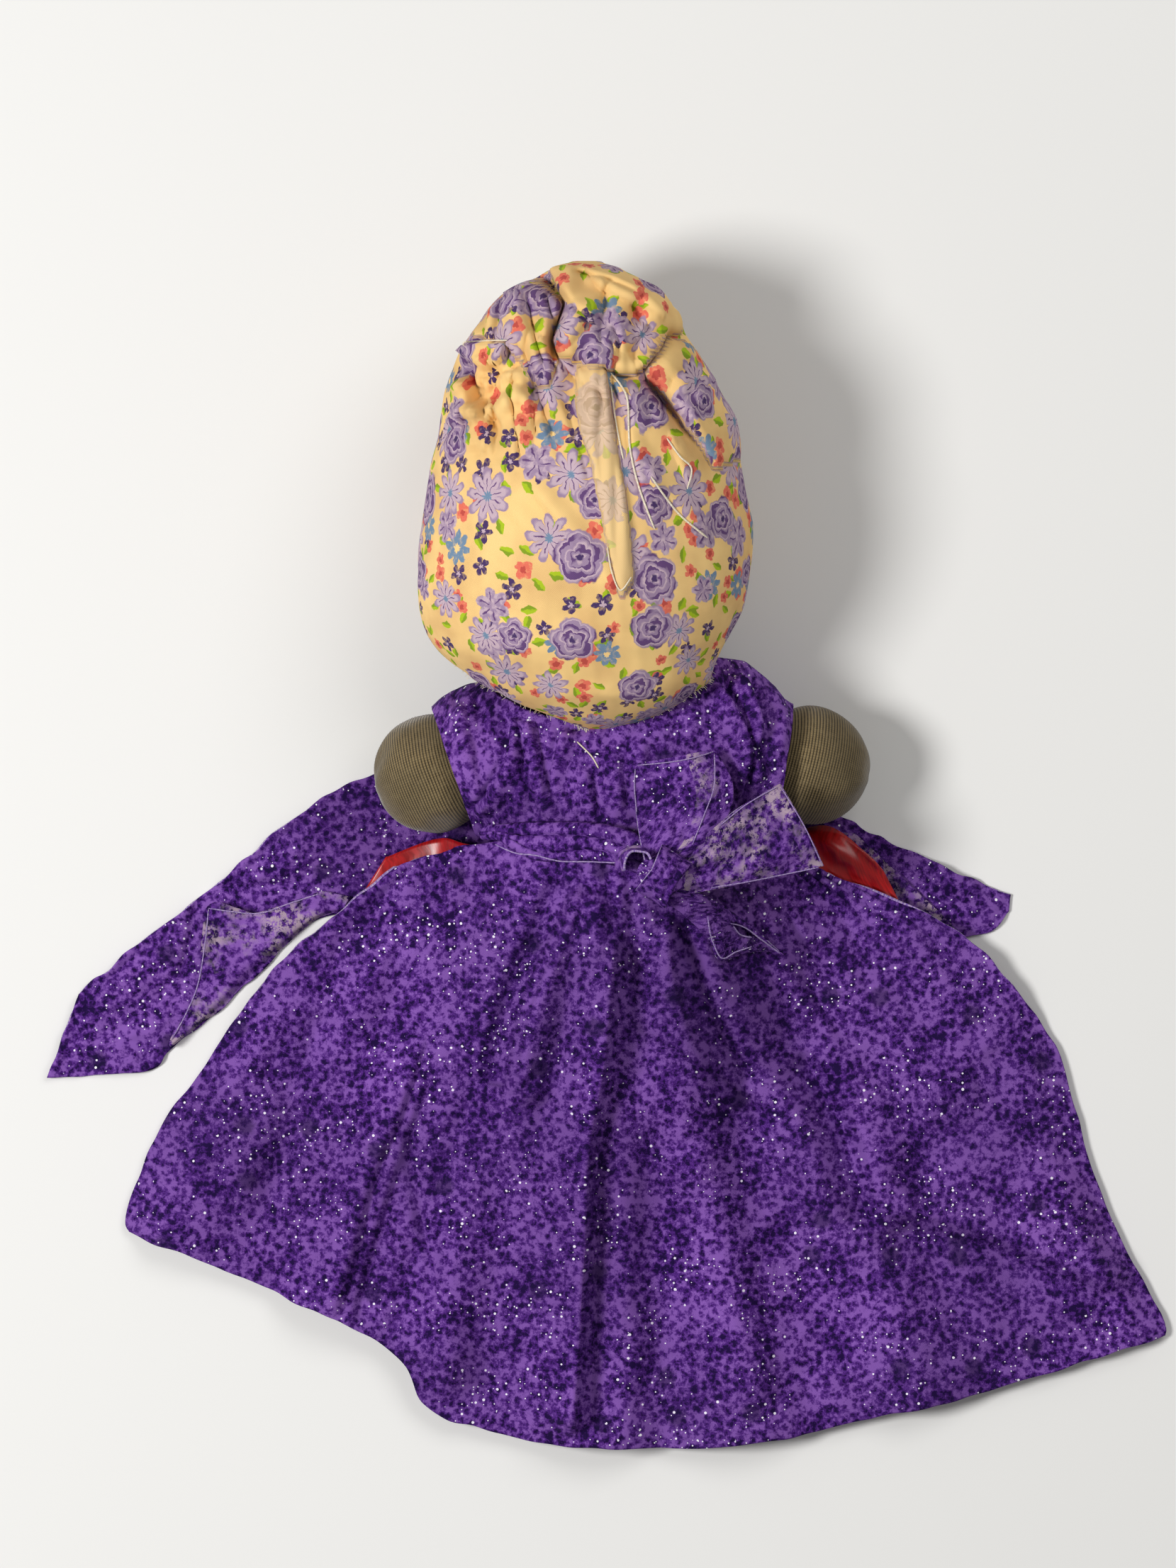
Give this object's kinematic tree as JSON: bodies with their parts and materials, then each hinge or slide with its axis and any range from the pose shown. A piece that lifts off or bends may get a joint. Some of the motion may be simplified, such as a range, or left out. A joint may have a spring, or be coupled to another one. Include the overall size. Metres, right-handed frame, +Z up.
{
  "type": "cloth doll",
  "caption": "Home-made stuffed cloth doll lying face down, with a floral headwrap, stub knit arms, a gathered glitter-cotton dress over a satin underskirt, and a tied bow at the back.",
  "frame": {"origin": "on the surface that the doll lies on, under the waist, on the flat underside of the front sash", "axes": "+Z up from the surface, +Y from the waist towards the head, +X towards the doll's right arm as it lies face down"},
  "size_m": [0.3352, 0.3538, 0.0873],
  "materials": {
    "knit": "matte",
    "filling": "matte",
    "thread": "satin",
    "floral_cotton": "matte",
    "purple_cotton": "matte with glitter",
    "red_satin": "satin"
  },
  "bodies": {
    "root": {"sock_body": "knit", "head_stuffing": "filling", "torso_stuffing": "filling", "neck_thread": "thread", "left_arm_skin": "knit", "left_arm_stuffing": "filling", "right_arm_skin": "knit", "right_arm_stuffing": "filling", "headwrap": "floral_cotton", "bodice": "purple_cotton", "petticoat": "red_satin", "skirt_back": "purple_cotton", "skirt_front": "purple_cotton", "waist_tie": "purple_cotton", "front_sash": "purple_cotton"}
  },
  "joints": []
}
